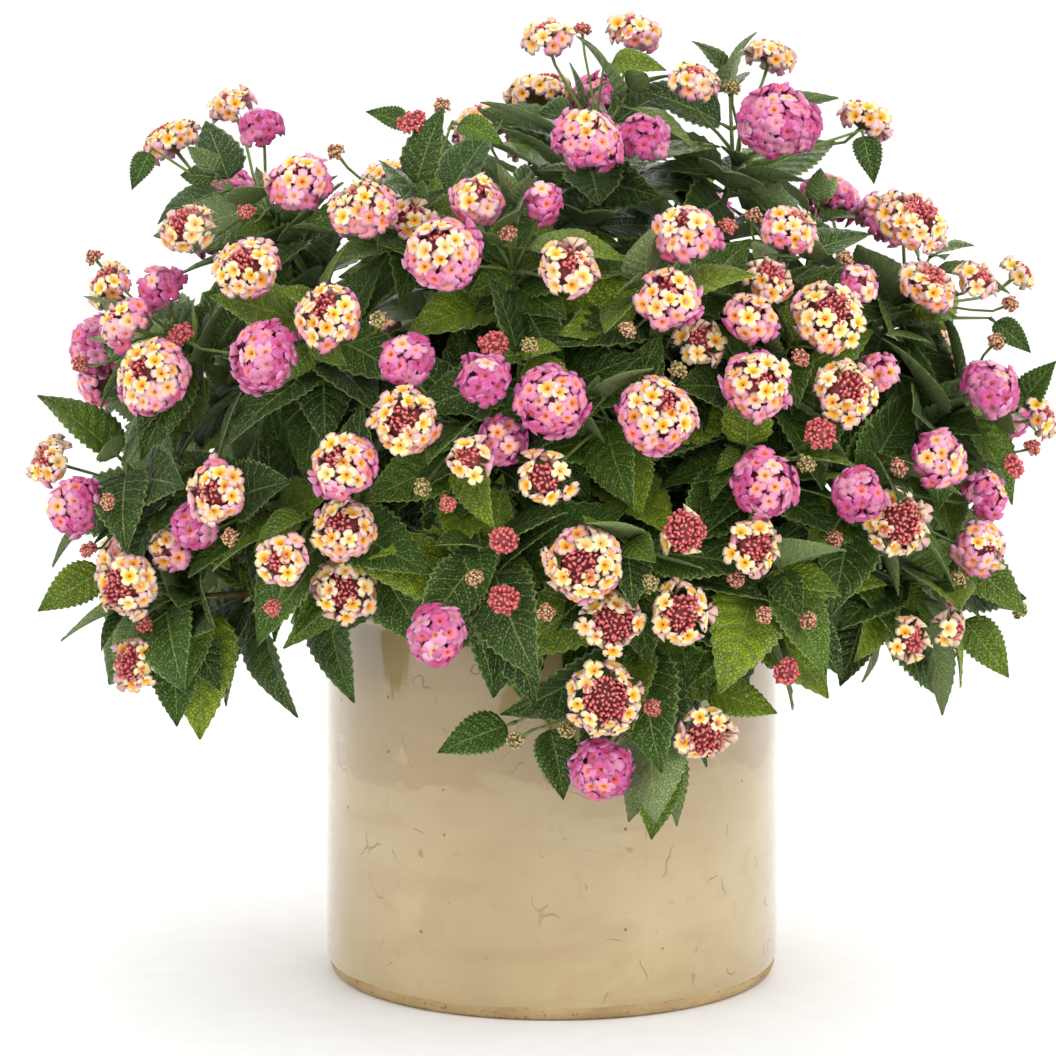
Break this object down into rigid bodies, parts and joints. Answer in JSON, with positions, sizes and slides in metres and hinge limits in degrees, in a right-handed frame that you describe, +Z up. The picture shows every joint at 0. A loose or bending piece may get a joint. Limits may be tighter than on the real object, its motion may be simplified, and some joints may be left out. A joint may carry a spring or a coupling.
{
  "type": "potted lantana plant",
  "caption": "Bushy flowering lantana in a glazed stoneware crock: leafy branches carrying round heads of cream, pink and magenta florets.",
  "frame": {"origin": "middle of the crock's underside", "axes": "+Z up; -Y is the side the plant is seen from"},
  "size_m": [0.4782, 0.4291, 0.4667],
  "materials": {
    "glazed_stoneware": "glossy",
    "potting_soil": "matte",
    "leafy_stems": "satin",
    "flower_heads": "matte"
  },
  "bodies": {
    "root": {"branch_01": "leafy_stems", "branch_02": "leafy_stems", "branch_03": "leafy_stems", "branch_04": "leafy_stems", "branch_05": "leafy_stems", "branch_06": "leafy_stems", "branch_07": "leafy_stems", "branch_08": "leafy_stems", "branch_09": "leafy_stems", "branch_10": "leafy_stems", "branch_11": "leafy_stems", "branch_12": "leafy_stems", "branch_13": "leafy_stems", "branch_14": "leafy_stems", "branch_15": "leafy_stems", "branch_16": "leafy_stems", "pot": "glazed_stoneware", "soil": "potting_soil", "truss_back_high_1": "flower_heads", "truss_back_high_2": "flower_heads", "truss_back_high_3": "flower_heads", "truss_back_high_4": "flower_heads", "truss_back_low_1": "flower_heads", "truss_back_low_2": "flower_heads", "truss_back_low_3": "flower_heads", "truss_back_low_4": "flower_heads", "truss_back_mid_1": "flower_heads", "truss_back_mid_2": "flower_heads", "truss_back_mid_3": "flower_heads", "truss_back_mid_4": "flower_heads", "truss_back_mid_5": "flower_heads", "truss_back_mid_6": "flower_heads", "truss_back_top": "flower_heads", "truss_crest": "flower_heads", "truss_crown": "flower_heads", "truss_edge_right": "flower_heads", "truss_far_left": "flower_heads", "truss_far_right": "flower_heads", "truss_heart": "flower_heads", "truss_hem_right": "flower_heads", "truss_high_left": "flower_heads", "truss_high_right": "flower_heads", "truss_left": "flower_heads", "truss_low_left": "flower_heads", "truss_low_right": "flower_heads", "truss_mid_high": "flower_heads", "truss_mid_left": "flower_heads", "truss_mid_right": "flower_heads", "truss_middle": "flower_heads", "truss_right": "flower_heads", "truss_skirt": "flower_heads", "truss_skirt_left": "flower_heads", "truss_skirt_low": "flower_heads", "truss_skirt_mid": "flower_heads", "truss_skirt_right": "flower_heads", "truss_stack": "flower_heads", "truss_top_left": "flower_heads", "truss_top_right": "flower_heads", "truss_under_left": "flower_heads", "truss_upper": "flower_heads"}
  },
  "joints": []
}
